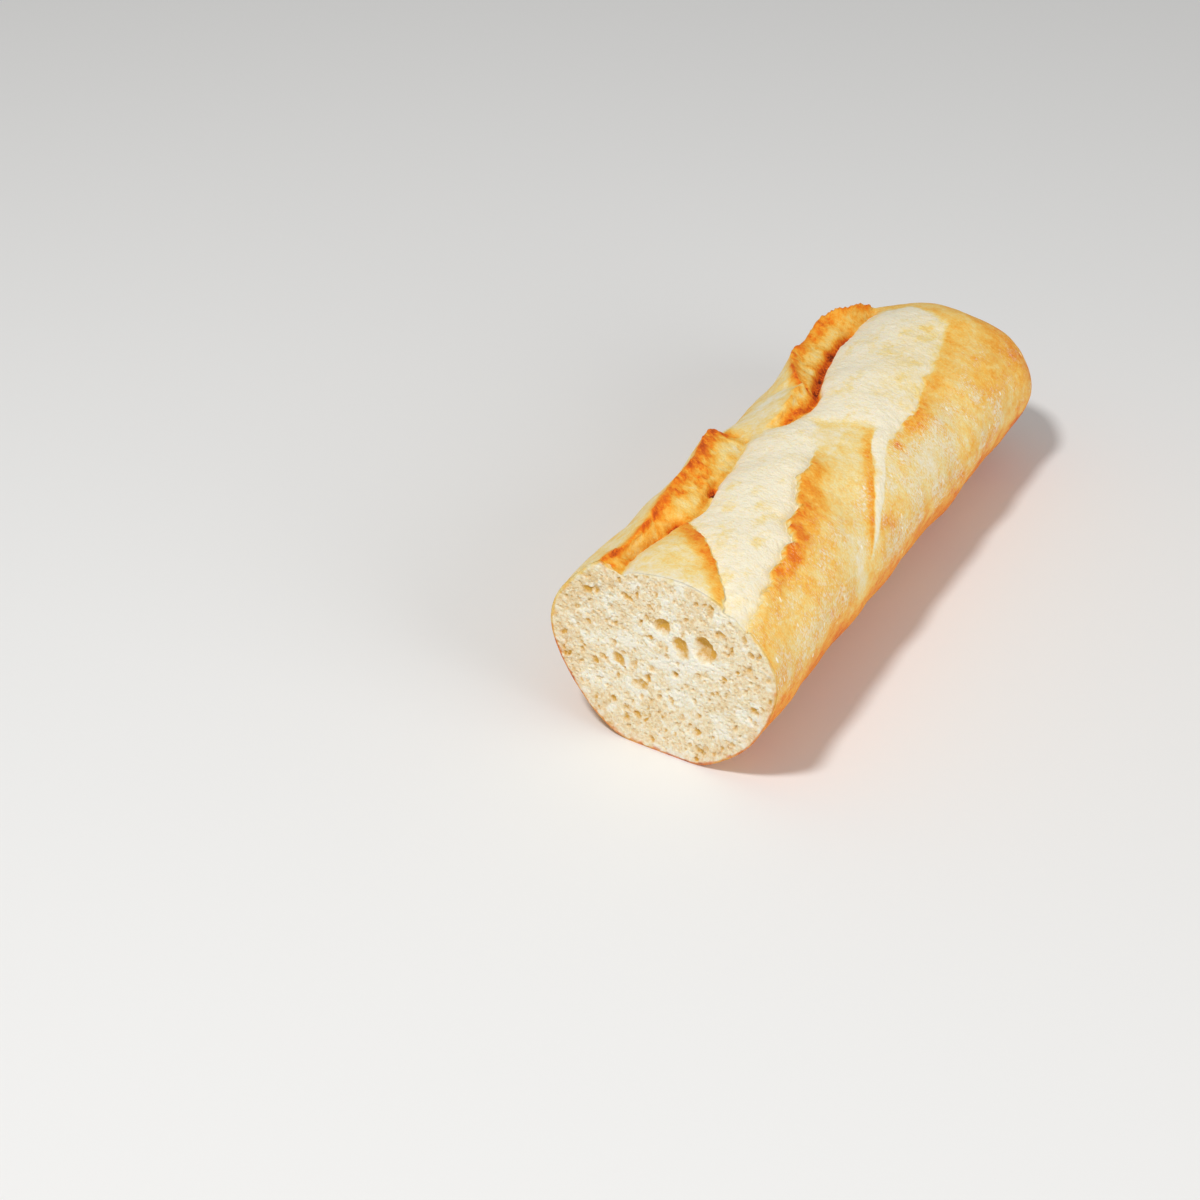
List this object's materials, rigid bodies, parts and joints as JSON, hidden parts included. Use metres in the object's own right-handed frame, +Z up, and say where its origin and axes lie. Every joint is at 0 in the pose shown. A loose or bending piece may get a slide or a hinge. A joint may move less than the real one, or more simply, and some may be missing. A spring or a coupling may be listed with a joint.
{
  "type": "half baguette",
  "caption": "Half of a crusty baguette, cut straight across: slashed top with lifted ears of crust, open crumb on the cut face, rounded heel, flat base to rest on.",
  "frame": {"origin": "on the surface the loaf rests on, under the middle of its bounding box", "axes": "+Y along the loaf from the cut face to the heel, +Z up, +X across the loaf"},
  "size_m": [0.069, 0.2132, 0.0549],
  "materials": {
    "crust": "matte",
    "crumb": "matte"
  },
  "bodies": {
    "root": {"half_baguette": "crust"}
  },
  "joints": []
}
